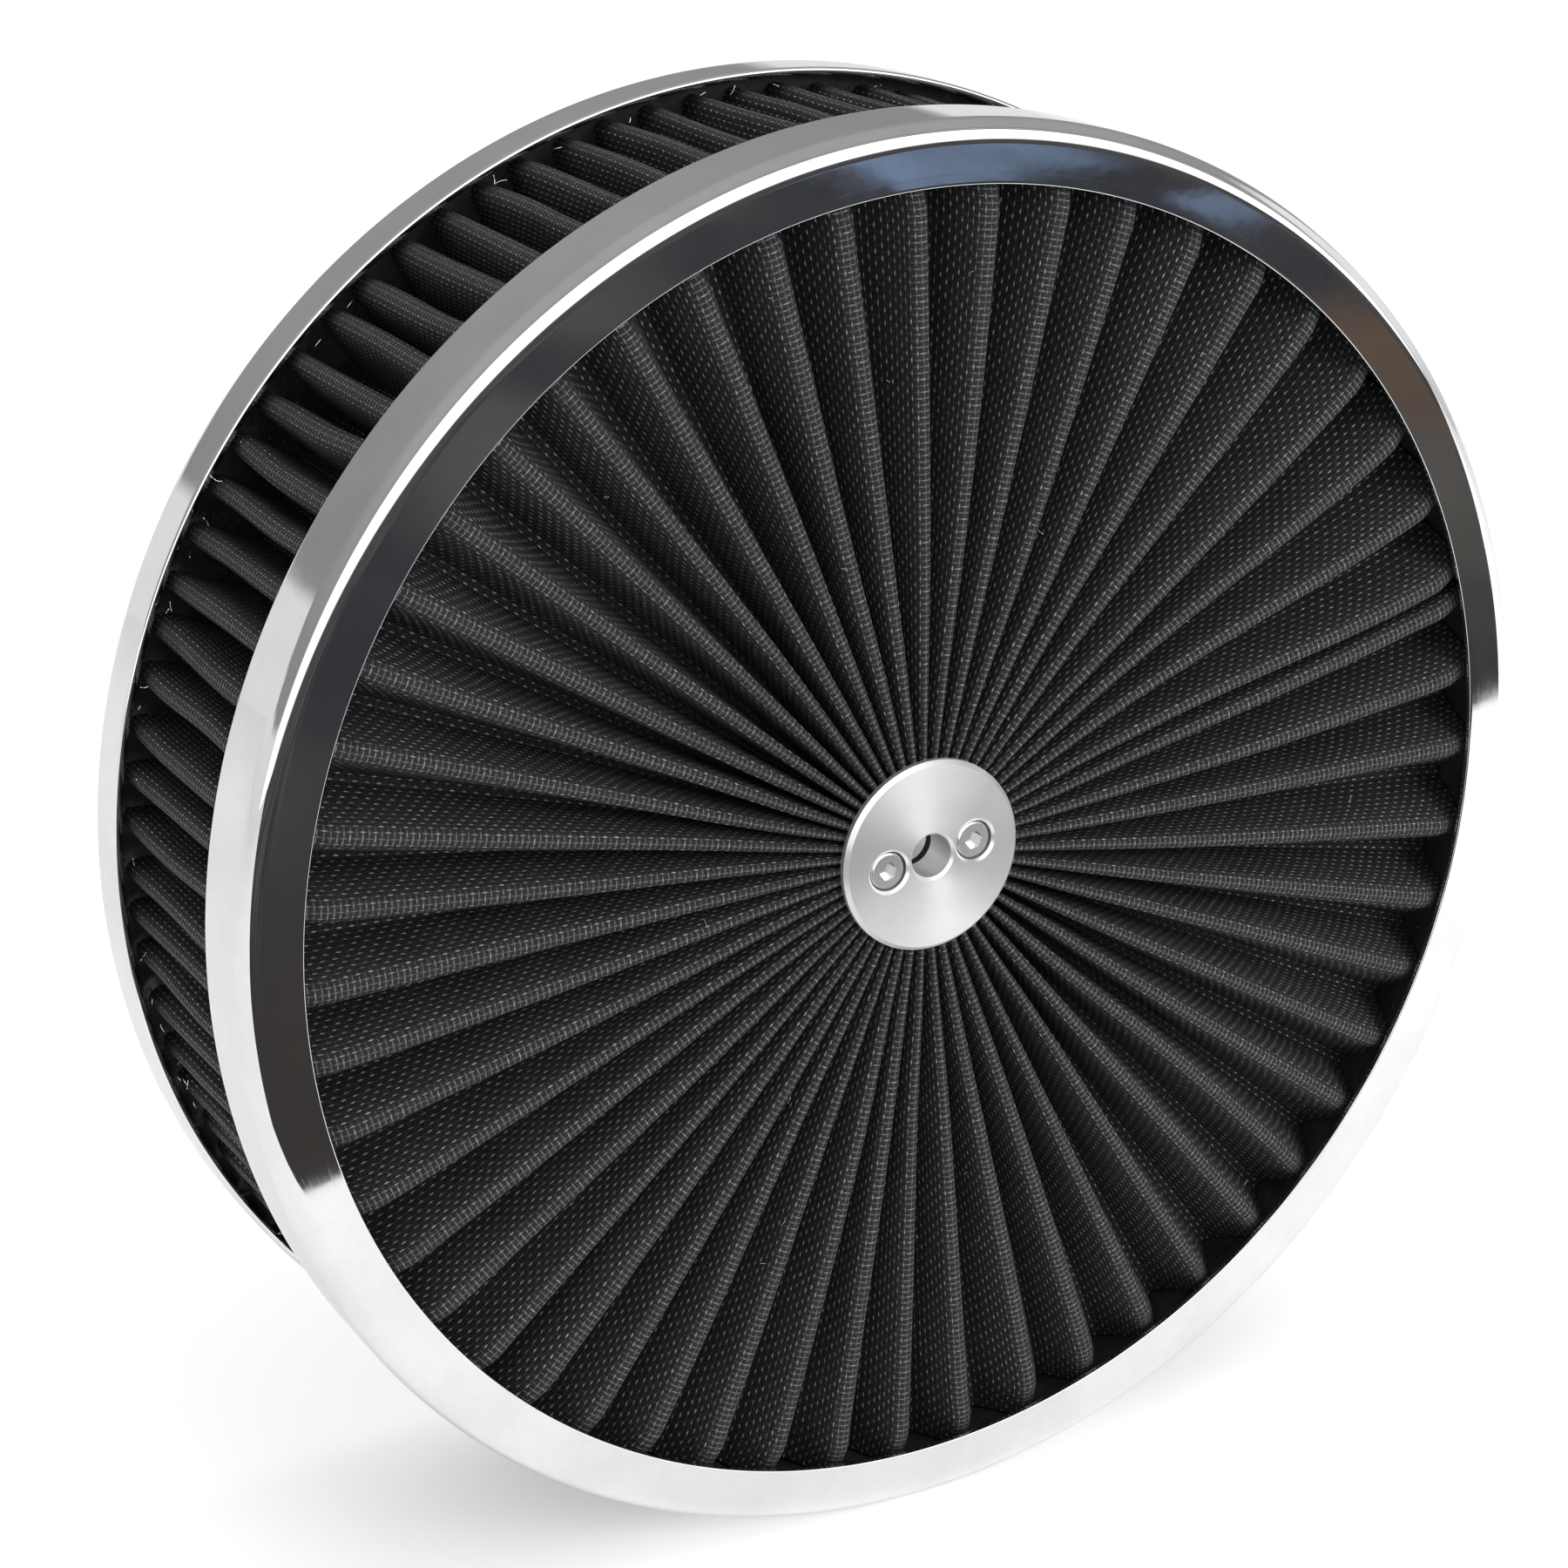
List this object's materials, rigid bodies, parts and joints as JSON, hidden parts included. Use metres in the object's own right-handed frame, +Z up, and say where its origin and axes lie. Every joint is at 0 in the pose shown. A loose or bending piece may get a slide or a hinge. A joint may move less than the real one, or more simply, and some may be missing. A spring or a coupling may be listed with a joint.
{
  "type": "motorcycle air filter",
  "caption": "Round pleated air filter with a radially pleated lid, two chromed rings, a clamped aluminium hub with a centre bolt hole, and an open rear.",
  "frame": {"origin": "centre of the rear opening, in the plane of the rear seal's face", "axes": "+Y along the filter's axis out of the rear opening, towards the backplate; the lid faces -Y; +Z up as it sits on the motorcycle"},
  "size_m": [0.21, 0.06, 0.21],
  "materials": {
    "chrome": "polished chrome plate on pressed steel",
    "coated_wire": "woven wire with satin black epoxy coating",
    "cotton_gauze": "oiled black cotton gauze, matt",
    "urethane": "cast black urethane, satin",
    "seal_rubber": "closed-cell rubber, matt",
    "hub_aluminium": "fine turned, bright chamfers",
    "washer_rubber": "matt black",
    "screw_steel": "stainless, satin head",
    "seam_metal": "mill finish strip"
  },
  "bodies": {
    "root": {"front_potting": "urethane", "front_ring": "chrome", "hub_core": "urethane", "hub_front_cap": "hub_aluminium", "hub_rear_cap": "hub_aluminium", "hub_screws": "screw_steel", "hub_spacer_washer": "washer_rubber", "lid_inner_gauze": "cotton_gauze", "lid_inner_screen": "coated_wire", "lid_outer_gauze": "cotton_gauze", "lid_outer_screen": "coated_wire", "lid_seam_strip": "seam_metal", "rear_potting": "urethane", "rear_ring": "chrome", "rear_seal": "seal_rubber", "side_inner_gauze": "cotton_gauze", "side_inner_screen": "coated_wire", "side_outer_gauze": "cotton_gauze", "side_outer_screen": "coated_wire", "side_seam_strip": "seam_metal"}
  },
  "joints": []
}
